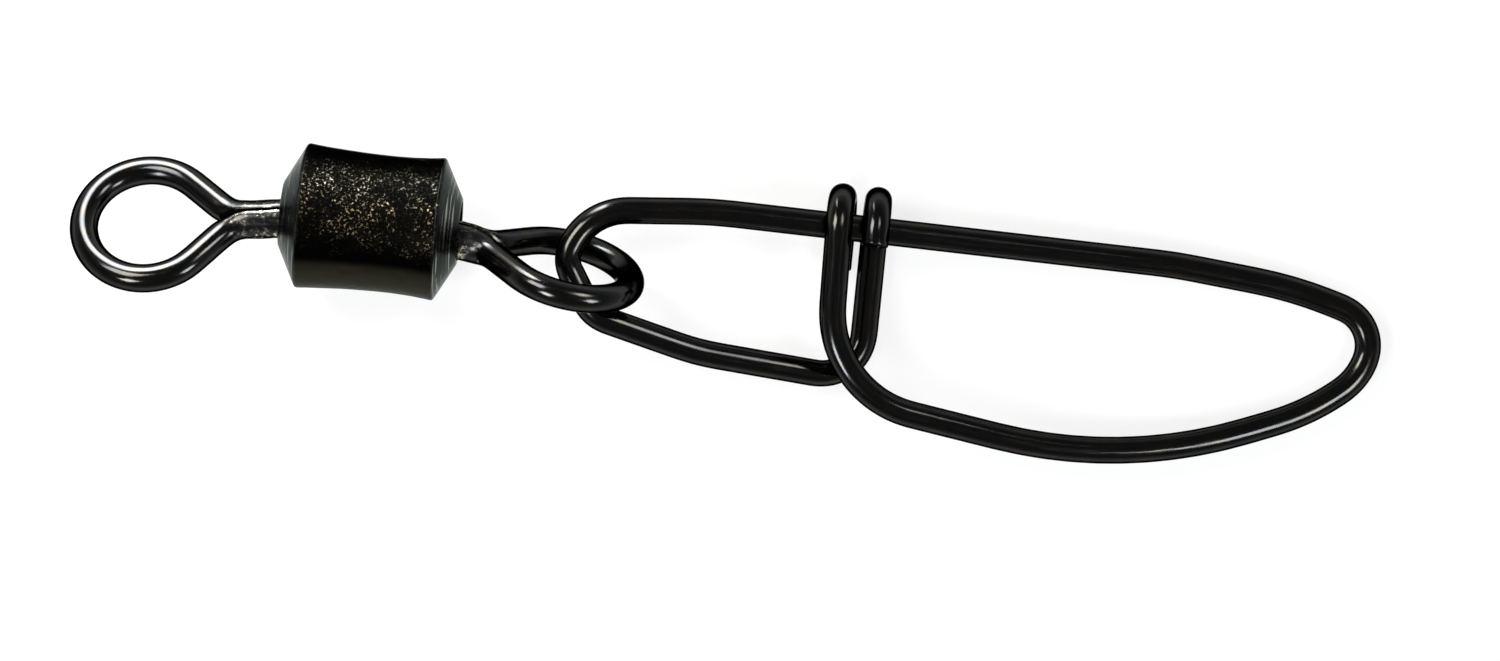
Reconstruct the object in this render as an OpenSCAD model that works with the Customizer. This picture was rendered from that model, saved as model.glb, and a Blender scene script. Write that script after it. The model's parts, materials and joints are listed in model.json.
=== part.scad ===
// Rolling barrel swivel with a cross-lock snap.
// Built about the barrel's centre, with +X towards the snap, and then moved so that the
// origin lies in the middle of the footprint. It lies flat, as it does on a table.

/* [Barrel] */
// Length between the two end faces
barrel_len = 7.5; // [6.5:0.1:10]
// Diameter at the edge on the line side
barrel_d = 6.1; // [5.6:0.02:7]
// Diameter at the edge on the snap side
barrel_snap_d = 6; // [5.4:0.02:6.1]
// Diameter at the narrowest place of the waist
waist_d = 5.74; // [5.3:0.02:5.9]
// From the barrel's middle to that place, towards the snap
waist_place = 0.7; // [0:0.1:1]
// Length of each closed-down end cone
cone_len = 0.85; // [0.6:0.05:1.2]
// Diameter of the hole in each end
hole_d = 2.5; // [2.4:0.02:2.9]
// Width of the flat rim round each hole
rim_w = 0.14; // [0.05:0.01:0.3]
// Wall of the barrel tube
barrel_wall = 0.42; // [0.3:0.02:0.6]
// Rounding of the edge between the side and each cone
edge_round = 0.16; // [0.1:0.02:0.4]

/* [Eyes] */
// Wire of the two eyes
eye_wire_d = 1.2; // [1:0.05:1.4]
// Radius of the eye at the middle of its wire
eye_round = 2.68; // [2.2:0.02:3]
// From the middle of the head to the middle of the wire at the tip
eye_len = 9.8; // [9:0.1:12]
// Angle of each leg to the shank
leg_angle = 45; // [35:1:55]
// Bend radius where a leg leaves the neck
leg_bend = 1.2; // [0.6:0.05:1.5]
// Diameter of the neck that the two legs are pressed into
neck_d = 1.64; // [1.5:0.02:1.7]
// Chamfer at the end of the neck, where the two legs come out of it
neck_ease = 0.12; // [0.06:0.02:0.16]
// How far pressing the neck sinks the round of each leg below its surface
leg_press = 0.03; // [0.02:0.01:0.1]
// Width of the seam between the two legs
seam_w = 0.08; // [0.04:0.01:0.15]
// Depth of that seam
seam_depth = 0.12; // [0.05:0.01:0.2]
// Diameter of the head inside the barrel
head_d = 3.7; // [3.2:0.05:3.9]
// Thickness of the head's rim
head_t = 0.9; // [0.6:0.05:1.1]
// Rounding of the head's inner edge
head_round = 0.25; // [0.1:0.05:0.4]
// How far the line eye's head lies back from its seat in the cone
line_play = 0.32; // [0.3:0.01:1.2]
// How far the snap eye's head lies back from its seat in the cone
snap_play = 1.17; // [0.4:0.01:1.2]
// Angle at which the line eye leans in its hole
line_tilt = 8.3; // [0:0.1:9]
// Clearance left between the snap eye's leaning neck and the edge of its hole
lean_clear = 0.045; // [0.02:0.005:0.1]
// How far the line eye is turned about its shank
line_roll = 31; // [0:1:60]

/* [Snap] */
// Spring wire of the snap
snap_wire_d = 1.15; // [0.9:0.05:1.2]
// From the outside of the end bend to the outside of the nose
snap_len = 35.3; // [32:0.1:40]
// From the snap eye's tip back to the snap's end bend, middle to middle
snap_slack = 2.7; // [2.4:0.05:3]
// Distance of the spine from the barrel's axis
spine_side = 1.85; // [1.6:0.05:2.1]
// Gap between a closed hook and the spine
lock_clear = 0.14; // [0.05:0.01:0.2]
// From the end bend to the front hook
front_hook = 11.15; // [10:0.05:13]
// Between the front hook and the back hook
hook_pitch = 1.6; // [1.4:0.05:2.5]
// Length of the front hook's free end past the bend
front_tail = 3.1; // [1.5:0.1:3.3]
// How far the front hook's free end lies beside its leg, towards the nose
tail_lean = 0.2; // [0:0.02:0.3]
// Length of the back hook's free end past the bend
back_tail = 2; // [1:0.1:3]
// Depth of the lure loop's belly corner below the spine
belly_depth = 8.9; // [8:0.1:11]
// From the front hook to that corner
belly_reach = 12.95; // [11:0.05:15]
// Depth of the corner between the belly and the nose
chin_depth = 5.8; // [5:0.05:7]
// Depth at which the front hook's leg meets the belly
heel_depth = 7.05; // [6:0.05:8]
// Depth at which the back hook's leg meets the lower wire
foot_depth = 6.4; // [5.5:0.05:7]
// Depth of the end loop where it is deepest beside the eye
end_depth = 5.9; // [5:0.05:6.5]

/* [Snap corners] */
// How far the front hook's leg leans towards the nose
heel_lean = 0.2; // [0:0.05:0.5]
// From the nose back to the chin corner
chin_reach = 2.3; // [2:0.05:3.5]
// Depth of the nose's lower corner
nose_low_depth = 4.2; // [3.9:0.05:4.5]
// How far that corner lies back from the nose
nose_low_back = 0.4; // [0:0.05:0.6]
// Depth of the nose's upper corner
nose_top_depth = 1.72; // [1.4:0.01:1.8]
// How far that corner lies out past the nose
nose_top_out = 0.35; // [0:0.05:0.5]
// From the nose back to the spine's first long bend
first_reach = 3.5; // [3:0.1:4.5]
// Depth of that bend
first_depth = 0.62; // [0.4:0.02:0.8]
// From the nose back to the spine's second long bend
second_reach = 8.65; // [7.5:0.05:10]
// Depth of that bend
second_depth = 0.16; // [0:0.02:0.3]
// From the end bend to the corners above and below the snap eye's tip
end_reach = 5.8; // [4.5:0.05:6.5]
// How far the upper one of these lies outside the spine
end_rise = 0.06; // [0:0.01:0.15]
// From the end bend to the end loop's upper corner
end_top_reach = 0.45; // [0.4:0.05:1]
// Depth of that corner
end_top_depth = 0.42; // [0.2:0.02:0.6]
// How far the end loop's back corner lies out past the end bend
end_back_out = 0.1; // [0:0.05:0.3]
// Depth of that corner
end_back_depth = 2.65; // [2.3:0.05:3]
// From the end bend to the end loop's lower corner
end_low_reach = 1.25; // [1:0.05:1.8]
// Depth of that corner
end_low_depth = 4.8; // [4.6:0.05:5.2]

/* [Bends] */
// Bend of the front hook's leg into the belly
heel_bend = 4.4; // [2:0.1:5]
// Long curve of the belly
belly_bend = 20.6; // [10:0.1:24]
// Curve from the belly up to the nose
chin_bend = 10; // [3:0.1:11]
// Lower bend of the nose
nose_low_bend = 2.9; // [1.5:0.05:3.2]
// Upper bend of the nose
nose_top_bend = 1.8; // [1.2:0.05:2.5]
// Long bends of the spine
spine_bend = 18; // [5:1:20]
// Upper bend of the end loop
end_top_bend = 2.6; // [1.2:0.1:3]
// Tightest bend of the end loop
end_bend = 1; // [0.8:0.05:1.6]
// Lower bend of the end loop
end_low_bend = 1.2; // [1:0.05:2.5]
// Slight bend of the lower wire beside the snap eye's tip
floor_bend = 10.5; // [5:0.5:12]
// Bend of the lower wire into the back hook's leg
foot_bend = 1.8; // [1.2:0.05:2.5]

/* [Hidden] */

barrel_axis = barrel_d / 2;
eye_r = eye_wire_d / 2;
neck_r = neck_d / 2;
head_r = head_d / 2;
snap_r = snap_wire_d / 2;

// Wire rings have this many sides, and a bend turns by this much from ring to ring
wire_sides = 24;
bend_step = 11;
bend_chord = 2.2;
round_fn = 96;

// Unit vector along v
function unit(v) = v / norm(v);

// Turn of the wire at corner i of a route, in degrees
function turn_at(route, i) =
    let (u = unit(route[i] - route[i - 1]), v = unit(route[i + 1] - route[i]))
    acos(max(-1, min(1, u * v)));

// Length of wire that the bend at corner i takes from each of its two sides
function reach_at(route, bends, i) =
    i == 0 || i == len(route) - 1 ? 0 : bends[i] * tan(turn_at(route, i) / 2);

// Share of its bend radius that corner i keeps, so that two bends never share a piece of wire
function fit_at(route, bends, i) =
    let (own = reach_at(route, bends, i))
    min(
        1,
        0.99 * norm(route[i] - route[i - 1]) / (own + reach_at(route, bends, i - 1)),
        0.99 * norm(route[i + 1] - route[i]) / (own + reach_at(route, bends, i + 1))
    );

// Points along the arc that rounds corner i, its first and last point on the straights
function arc_at(route, bends, i) =
    let (
        u = unit(route[i] - route[i - 1]),
        v = unit(route[i + 1] - route[i]),
        turn = turn_at(route, i),
        r = bends[i] * fit_at(route, bends, i),
        inward = unit(v - u * (u * v)),
        centre = route[i] - u * r * tan(turn / 2) + inward * r,
        steps = max(1, ceil(turn / bend_step), ceil(turn * PI / 180 * r / bend_chord))
    )
    [for (k = [0:steps]) centre + r * (u * sin(turn * k / steps) - inward * cos(turn * k / steps))];

// Middle line of a wire that follows the corners of a route, each rounded by its bend radius
function wire_line(route, bends) =
    let (last = len(route) - 1)
    concat([route[0]], [for (i = [1:last - 1]) each arc_at(route, bends, i)], [route[last]]);

// Directions of the wire at the points of its middle line, with the last cut square to end_way
function headings(line, end_way = undef) =
    let (last = len(line) - 1)
    [
        for (i = [0:last])
            i == 0 ? unit(line[1] - line[0]) :
            i < last ? unit(unit(line[i] - line[i - 1]) + unit(line[i + 1] - line[i])) :
            is_undef(end_way) ? unit(line[last] - line[last - 1]) : end_way
    ];

// Sideways vectors along the wire, each the last one laid square to the new direction
function side_vectors(ways, found) =
    let (i = len(found))
    i == len(ways) ? found :
    let (t = ways[i], s = found[i - 1])
    side_vectors(ways, concat(found, [unit(s - t * (s * t))]));

// Any vector square to t
function square_to(t) = unit(abs(t.z) < 0.9 ? cross(t, [0, 0, 1]) : cross(t, [0, 1, 0]));

// Round wire of radius r along a middle line, closed by a flat cut at both ends
module wire(line, r, end_way = undef) {
    ways = headings(line, end_way);
    sides = side_vectors(ways, [square_to(ways[0])]);
    n = wire_sides;
    rings = len(line);
    points = [
        for (i = [0:rings - 1])
            let (s = sides[i], b = cross(ways[i], s))
            for (k = [0:n - 1])
                line[i] + r * (s * cos(360 * k / n) + b * sin(360 * k / n))
    ];
    skin = [
        for (i = [0:rings - 2], k = [0:n - 1])
            let (a = i * n + k, b = i * n + (k + 1) % n)
            each [[a, a + n, b], [b, a + n, b + n]]
    ];
    start_cap = [[for (k = [0:n - 1]) k]];
    end_cap = [[for (k = [0:n - 1]) (rings - 1) * n + n - 1 - k]];
    polyhedron(points, concat(skin, start_cap, end_cap), convexity = 8);
}

// A profile of [radius, place along the axis] points turned about the X axis
module turned(profile) {
    rotate([0, 90, 0])
        rotate_extrude($fn = round_fn)
            polygon(profile);
}

// Barrel: a tube closed down to a cone at each end, its side drawn in a little at the waist
side_half = barrel_len / 2 - cone_len;
hole_r = hole_d / 2;
rim_r = hole_r + rim_w;
waist_r = waist_d / 2;
waist_steps = 6;
edge_steps = 5;

// Angle of an end cone to the axis, for the radius r at its foot
function cone_angle(r) = atan((r - rim_r) / cone_len);

// Outline from the middle of one end to the waist, which lies at the place w, as [radius, place]
function half_outline(r, w) =
    let (
        cone = cone_angle(r),
        edge_place = side_half - edge_round * tan(cone / 2),
        centre = [r - edge_round, edge_place]
    )
    concat(
        [[0, barrel_len / 2], [rim_r, barrel_len / 2]],
        [
            for (k = [0:edge_steps])
                let (a = cone * (1 - k / edge_steps))
                centre + edge_round * [cos(a), sin(a)]
        ],
        [
            for (k = [1:waist_steps])
                let (s = 1 - k / waist_steps)
                [waist_r + (r - waist_r) * s * s, w + (edge_place - w) * s]
        ]
    );

// The same outline in the other half, from the waist to the far end
function far_half(outline) =
    [for (k = [len(outline) - 2:-1:0]) [outline[k].x, -outline[k].y]];

// Inside of the tube: one wall from the side, and one wall behind each cone
bore_cone = cone_angle(barrel_snap_d / 2);
cavity_r = waist_r - barrel_wall;

// Place along the axis at which the inside of a cone has the radius r
function cavity_place(r) =
    barrel_len / 2 - barrel_wall * sin(bore_cone)
    - (r - rim_r + barrel_wall * cos(bore_cone)) / tan(bore_cone);

module swivel_barrel() {
    cavity = [
        [0, cavity_place(hole_r)],
        [hole_r, cavity_place(hole_r)],
        [cavity_r, cavity_place(cavity_r)],
        [cavity_r, -cavity_place(cavity_r)],
        [hole_r, -cavity_place(hole_r)],
        [0, -cavity_place(hole_r)]
    ];
    color("#4d4537")
        placed()
            difference() {
                turned(concat(
                    half_outline(barrel_snap_d / 2, waist_place),
                    far_half(half_outline(barrel_d / 2, -waist_place))
                ));
                turned(cavity);
                rotate([0, 90, 0])
                    cylinder(h = barrel_len + 2, r = hole_r, center = true, $fn = round_fn);
            }
}

// Where the heads lie, from the barrel's middle: back from their seats by their play
head_seat = cavity_place(head_r) - head_t / 2;
line_head = head_seat - line_play;
snap_head = head_seat - snap_play;

// The snap eye leans until its neck lies against the hole's edge, and turns until it lies on the table
snap_mouth = barrel_len / 2 - snap_head;
snap_tilt = acos((neck_r + lean_clear) / norm([hole_r, snap_mouth])) - atan(snap_mouth / hole_r);
snap_roll = asin(min(1, (barrel_axis - eye_r) / eye_round));

// Eye, in its own frame: the head's middle at the origin, the shank along +X, the eye in the XY plane
eye_middle = eye_len - eye_round;
leg_cross = eye_middle - eye_round / sin(leg_angle);
leg_side = neck_r - eye_r - leg_press;
leg_corner = leg_cross + leg_side / tan(leg_angle);
neck_end = leg_corner - leg_bend * tan(leg_angle / 2) - neck_ease / 2;
leg_start = neck_end - eye_wire_d;
shoulder_len = (head_r - neck_r) / tan(bore_cone);
round_turn = 90 + leg_angle;
round_steps = ceil(round_turn / bend_step);

// Point of the eye's middle line at angle a round its middle
function round_point(a) = [eye_middle, 0, 0] + eye_round * [cos(a), sin(a), 0];

// Middle line of one half of the eye: out of the neck, up the leg and round to the tip
leg_route = [[leg_start, leg_side, 0], [leg_corner, leg_side, 0], round_point(round_turn)];
half_line = concat(
    [leg_route[0]],
    arc_at(leg_route, [0, leg_bend, 0], 1),
    [for (k = [0:round_steps]) round_point(round_turn * (1 - k / round_steps))]
);

// Head and neck: both wire ends pressed together into one round stem with a cone-shouldered head
neck_profile = [
    [0, -head_t / 2],
    [head_r - head_round, -head_t / 2],
    [head_r - head_round * (1 - sin(45)), -head_t / 2 + head_round * (1 - cos(45))],
    [head_r, -head_t / 2 + head_round],
    [head_r, head_t / 2],
    [neck_r, head_t / 2 + shoulder_len],
    [neck_r, neck_end - neck_ease],
    [neck_r - neck_ease, neck_end],
    [0, neck_end]
];

module eye() {
    seam_len = neck_end - head_t / 2 + 1;
    union() {
        for (half = [0, 1])
            mirror([0, half, 0])
                wire(half_line, eye_r, [0, -1, 0]);
        difference() {
            turned(neck_profile);
            for (side = [-1, 1])
                translate([head_t / 2 + seam_len / 2, 0, side * neck_r])
                    cube([seam_len, seam_w, 2 * seam_depth], center = true);
        }
    }
}

module line_eye() {
    color("#3c3c3e")
        placed()
            translate([-line_head, 0, 0])
                rotate([0, 0, 180 + line_tilt])
                    rotate([line_roll, 0, 0])
                        eye();
}

module snap_eye() {
    color("#444446")
        placed()
            translate([snap_head, 0, 0])
                rotate([0, 0, -snap_tilt])
                    rotate([-snap_roll, 0, 0])
                        eye();
}

// Snap: one spring wire, in a frame with the end bend at x = 0, the spine at y = 0 and the table at z = 0.
// The nose and the back hook lie on the table, and the spine climbs from the nose to clear that hook.
snap_x = snap_head + eye_len * cos(snap_tilt) - snap_slack;
nose_x = snap_len - snap_wire_d;
back_hook = front_hook + hook_pitch;
hook_round = snap_wire_d + lock_clear;
spine_slope = hook_round / (nose_x - back_hook);

// Height of the spine's middle line at x
function spine_z(x) = snap_r + (nose_x - x) * spine_slope;

// Height at x on the straight line between two corners given as [x, z]
function between(x, a, b) = a.y + (b.y - a.y) * (x - a.x) / (b.x - a.x);

heel = [front_hook + heel_lean, spine_z(front_hook) + hook_round];
chin = [nose_x - chin_reach, spine_z(nose_x - chin_reach)];
belly_x = front_hook + belly_reach;
first_x = nose_x - first_reach;
second_x = nose_x - second_reach;
end_low = [end_low_reach, spine_z(end_low_reach)];
foot = [back_hook, snap_r];

// Corners of the snap's wire, each with its bend radius, from the front hook's free end
snap_corners = [
    [[front_hook + tail_lean, hook_round - front_tail, spine_z(front_hook) - hook_round], 0],
    [[front_hook + tail_lean, hook_round, spine_z(front_hook) - hook_round], hook_round],
    [[front_hook, hook_round, spine_z(front_hook) + hook_round], hook_round],
    [[heel.x, -heel_depth, heel.y], heel_bend],
    [[belly_x, -belly_depth, between(belly_x, heel, chin)], belly_bend],
    [[chin.x, -chin_depth, chin.y], chin_bend],
    [[nose_x - nose_low_back, -nose_low_depth, snap_r], nose_low_bend],
    [[nose_x + nose_top_out, -nose_top_depth, snap_r], nose_top_bend],
    [[first_x, -first_depth, spine_z(first_x)], spine_bend],
    [[second_x, -second_depth, spine_z(second_x)], spine_bend],
    [[end_reach, end_rise, spine_z(end_reach)], spine_bend],
    [[end_top_reach, -end_top_depth, spine_z(end_top_reach)], end_top_bend],
    [[-end_back_out, -end_back_depth, spine_z(0)], end_bend],
    [[end_low.x, -end_low_depth, end_low.y], end_low_bend],
    [[end_reach, -end_depth, between(end_reach, end_low, foot)], floor_bend],
    [[foot.x, -foot_depth, foot.y], foot_bend],
    [[back_hook, hook_round, foot.y], hook_round],
    [[back_hook, hook_round, spine_z(back_hook) + hook_round], hook_round],
    [[back_hook, hook_round - back_tail, spine_z(back_hook) + hook_round], 0]
];
snap_line = wire_line([for (c = snap_corners) c[0]], [for (c = snap_corners) c[1]]);

module snap() {
    color("#3a3a3d")
        translate([snap_x - middle_x, spine_side - middle_y, 0])
            wire(snap_line, snap_r);
}

// Middle of the footprint, measured from the barrel's centre
line_reach = line_head + eye_middle * cos(line_tilt) + eye_r
    + eye_round * norm([cos(line_tilt), sin(line_tilt) * cos(line_roll)]);
snap_reach = snap_x + max([for (p = snap_line) p.x]) + snap_r;
middle_x = (snap_reach - line_reach) / 2;
middle_y = spine_side
    + (max([for (p = snap_line) p.y]) + min([for (p = snap_line) p.y])) / 2;

// Swivel pieces, drawn about the barrel's centre, brought to their place over the footprint
module placed() {
    translate([-middle_x, -middle_y, barrel_axis])
        children();
}

swivel_barrel();
line_eye();
snap_eye();
snap();
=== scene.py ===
"""Rolling barrel swivel with a cross-lock snap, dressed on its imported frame.

Sizes in the classes are millimetres and degrees. Meshes are worked out in millimetres, in the frame of
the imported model, and are stored in metres.
"""
import json
import logging
import math
from dataclasses import dataclass
from enum import Enum

import bpy
import numpy as np
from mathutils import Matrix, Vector


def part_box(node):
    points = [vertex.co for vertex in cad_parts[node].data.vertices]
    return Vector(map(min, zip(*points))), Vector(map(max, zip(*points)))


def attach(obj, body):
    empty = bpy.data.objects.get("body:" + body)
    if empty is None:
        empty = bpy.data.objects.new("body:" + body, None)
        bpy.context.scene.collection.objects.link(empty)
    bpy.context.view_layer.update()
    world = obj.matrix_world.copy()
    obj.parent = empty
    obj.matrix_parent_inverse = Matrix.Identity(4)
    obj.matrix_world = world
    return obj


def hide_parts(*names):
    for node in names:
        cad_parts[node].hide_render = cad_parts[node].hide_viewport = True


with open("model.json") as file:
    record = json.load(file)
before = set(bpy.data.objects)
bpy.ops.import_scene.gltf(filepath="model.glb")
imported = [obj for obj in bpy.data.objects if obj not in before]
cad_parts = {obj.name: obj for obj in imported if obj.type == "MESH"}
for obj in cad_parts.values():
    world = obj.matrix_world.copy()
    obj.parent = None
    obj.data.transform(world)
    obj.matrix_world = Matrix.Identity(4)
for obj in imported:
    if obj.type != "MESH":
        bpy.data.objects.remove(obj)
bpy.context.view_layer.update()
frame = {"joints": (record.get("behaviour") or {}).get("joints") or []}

log = logging.getLogger("snap_swivel")

METRES = 0.001
UP = np.array([0.0, 0.0, 1.0])
WARM_WHITE = (1.0, 0.98, 0.95)
COOL_WHITE = (0.96, 0.98, 1.0)
Colour = tuple[float, float, float, float]
Socket = bpy.types.NodeSocket


class Body(Enum):
    """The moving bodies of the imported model."""

    BARREL = "barrel"
    LINE_EYE = "line_eye"
    SNAP_EYE = "snap_eye"
    SNAP = "snap"


class Slot(Enum):
    """The record's material slots."""

    BARREL = "barrel"
    EYE_WIRE = "eye_wire"
    SNAP_WIRE = "snap_wire"


class Layer(Enum):
    """Values that a mesh carries for its material."""

    WIRE = "wire"
    PRESSED = "pressed"
    CLOSED_DOWN = "closed_down"


def unit(v: np.ndarray) -> np.ndarray:
    """Returns the vector, or each row of vectors, at length one."""
    return v / np.linalg.norm(v, axis=-1, keepdims=True)


def smoothstep(x: np.ndarray, start: float, end: float) -> np.ndarray:
    """Returns 0 before start, 1 after end, and 3t^2 - 2t^3 between them."""
    t = np.clip((x - start) / (end - start), 0.0, 1.0)
    return t * t * (3.0 - 2.0 * t)


def rounded_line(corners: np.ndarray, bends: np.ndarray, turn_step: float = 3.0) -> np.ndarray:
    """Lays a wire's middle line along corners, each rounded by its bend radius.

    Formula: between the unit directions u and v, with the turn a, the arc of radius r has its centre at
    corner - u r tan(a / 2) + n r, where n is square to u on v's side, and its points are
    centre + r (u sin t - n cos t) for t from 0 to a. Two bends never share a piece of wire.

    Args:
        corners: The corners, one row each.
        bends: The bend radius at each corner, unused at the two ends.
        turn_step: The turn from one point of an arc to the next, in degrees.

    Returns:
        The points of the line, one row each.
    """
    runs = np.diff(corners, axis=0)
    lengths = np.linalg.norm(runs, axis=1)
    ways = unit(runs)
    turns = np.arccos(np.clip(np.sum(ways[:-1] * ways[1:], axis=1), -1.0, 1.0))
    reach = np.zeros(len(corners))
    reach[1:-1] = bends[1:-1] * np.tan(turns / 2)
    share = 0.99 * lengths / np.maximum(reach[:-1] + reach[1:], 1e-9)
    kept = np.minimum(1.0, np.minimum(share[:-1], share[1:]))
    points = [corners[:1]]
    for corner, u, v, turn, r in zip(corners[1:-1], ways[:-1], ways[1:], turns, bends[1:-1] * kept):
        inward = unit(v - u * np.dot(u, v))
        centre = corner - u * r * math.tan(turn / 2) + inward * r
        t = np.linspace(0.0, turn, max(2, math.ceil(math.degrees(turn) / turn_step) + 1))[:, None]
        points.append(centre + r * (u * np.sin(t) - inward * np.cos(t)))
    points.append(corners[-1:])
    return np.vstack(points)


def spaced(line: np.ndarray, step: float, ease: float) -> tuple[np.ndarray, np.ndarray]:
    """Spaces points evenly along a line and eases the ends of its bends.

    Formula: the line is read at even arc lengths, and each inner point becomes the mean of its neighbours,
    weighted by a bell curve of width ease.

    Args:
        line: The points of the line.
        step: The distance from one new point to the next.
        ease: The width of the bell curve.

    Returns:
        The new points, and the arc length at each.
    """
    lengths = np.r_[0.0, np.cumsum(np.linalg.norm(np.diff(line, axis=0), axis=1))]
    count = max(8, round(lengths[-1] / step))
    along = np.linspace(0.0, lengths[-1], count + 1)
    points = np.column_stack([np.interp(along, lengths, line[:, k]) for k in range(3)])
    half = math.ceil(3 * ease / step)
    bell = np.exp(-0.5 * (np.arange(-half, half + 1) * step / ease) ** 2)
    bell /= bell.sum()
    before = 2 * points[0] - points[half:0:-1]
    after = 2 * points[-1] - points[-2:-half - 2:-1]
    padded = np.vstack([before, points, after])
    eased = np.column_stack([np.convolve(padded[:, k], bell, "valid") for k in range(3)])
    return eased, along


def ways_along(line: np.ndarray) -> np.ndarray:
    """Returns the unit direction of a line at each of its points."""
    return unit(np.gradient(line, axis=0))


def carried_sides(ways: np.ndarray, first: np.ndarray) -> np.ndarray:
    """Carries a side direction along a line, each laid square to the new direction of the line.

    Args:
        ways: The direction of the line at each point.
        first: The side direction at the first point.

    Returns:
        The side direction at each point.
    """
    sides = np.empty_like(ways)
    side = first
    for i, way in enumerate(ways):
        side = unit(side - way * np.dot(side, way))
        sides[i] = side
    return sides


def grid_faces(rings: int, sides: int, closed: bool = False) -> np.ndarray:
    """Joins rings of points into four-sided faces, each ring closed on itself.

    Args:
        rings: The number of rings.
        sides: The points in a ring.
        closed: Whether the last ring joins the first one.

    Returns:
        The faces, one row of four indices each.
    """
    ring = np.arange(rings if closed else rings - 1)[:, None]
    side = np.arange(sides)[None, :]
    turned = (side + 1) % sides
    first = ring * sides
    following = (ring + 1) % rings * sides
    corners = [first + side, first + turned, following + turned, following + side]
    return np.stack(corners, axis=-1).reshape(-1, 4)


def end_fans(rings: int, sides: int) -> np.ndarray:
    """Joins the first and the last ring of a grid to the two tips whose points follow the grid's.

    Args:
        rings: The number of rings.
        sides: The points in a ring.

    Returns:
        The faces, one row of three indices each.
    """
    side = np.arange(sides)
    turned = (side + 1) % sides
    last_ring = (rings - 1) * sides
    tip = np.full(sides, rings * sides)
    return np.vstack([
        np.column_stack([turned, side, tip]),
        np.column_stack([last_ring + side, last_ring + turned, tip + 1]),
    ])


@dataclass
class Shell:
    """A closed surface, with the values that its material reads."""

    points: np.ndarray
    faces: list[list[int]]
    wire: np.ndarray
    pressed: np.ndarray
    closed_down: np.ndarray

    def joined(self, other: "Shell") -> "Shell":
        """Returns this shell and another one as one mesh."""
        shift = len(self.points)
        return Shell(
            np.vstack([self.points, other.points]),
            self.faces + [[i + shift for i in face] for face in other.faces],
            np.vstack([self.wire, other.wire]),
            np.r_[self.pressed, other.pressed],
            np.r_[self.closed_down, other.closed_down],
        )

    def volume(self) -> float:
        """Returns the volume inside the shell, which is above zero where the faces point outwards."""
        total = 0.0
        for count in (3, 4):
            faces = np.array([face for face in self.faces if len(face) == count], int).reshape(-1, count)
            for k in range(1, count - 1):
                a, b, c = (self.points[faces[:, j]] for j in (0, k, k + 1))
                total += float(np.sum(a * np.cross(b, c))) / 6
        return total

    def as_object(self, name: str) -> bpy.types.Object:
        """Makes the shell a mesh object at the origin.

        Args:
            name: The name of the piece.

        Returns:
            The object, with its place in its mesh.
        """
        mesh = bpy.data.meshes.new(name)
        mesh.from_pydata((self.points * METRES).tolist(), [], self.faces)
        mesh.polygons.foreach_set("use_smooth", np.ones(len(mesh.polygons), bool))
        layer = mesh.attributes.new(Layer.WIRE.value, "FLOAT_VECTOR", "POINT")
        layer.data.foreach_set("vector", self.wire.astype(np.float32).ravel())
        for kind, values in ((Layer.PRESSED, self.pressed), (Layer.CLOSED_DOWN, self.closed_down)):
            layer = mesh.attributes.new(kind.value, "FLOAT", "POINT")
            layer.data.foreach_set("value", values.astype(np.float32))
        mesh.set_sharp_from_angle(angle=math.radians(38))
        mesh.update()
        piece = bpy.data.objects.new(name, mesh)
        bpy.context.scene.collection.objects.link(piece)
        return piece


def make_piece(
    shell: Shell, name: str, finish: bpy.types.Material, body: Body, node: str,
) -> None:
    """Makes a shell a piece of the part: dressed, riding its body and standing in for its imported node.

    Args:
        shell: The closed surface of the piece.
        name: The name of the piece.
        finish: Its material.
        body: The body it rides on.
        node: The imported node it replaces.
    """
    piece = shell.as_object(name)
    piece.data.materials.append(finish)
    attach(piece, body.value)
    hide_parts(node)
    log.info("%s: %d faces, %.1f mm3", name, len(shell.faces), shell.volume())


def with_end_rings(values: np.ndarray, rings: int) -> np.ndarray:
    """Returns a line's values with each end's own value repeated for the rings of the cut there.

    Args:
        values: A value or a row for each point of the line.
        rings: The number of rings at each end, which take the place of its two outer points.

    Returns:
        A value or a row for each ring of the skin.
    """
    first = np.repeat(values[:1], rings, axis=0)
    last = np.repeat(values[-1:], rings, axis=0)
    return np.concatenate([first, values[2:-2], last])


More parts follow.
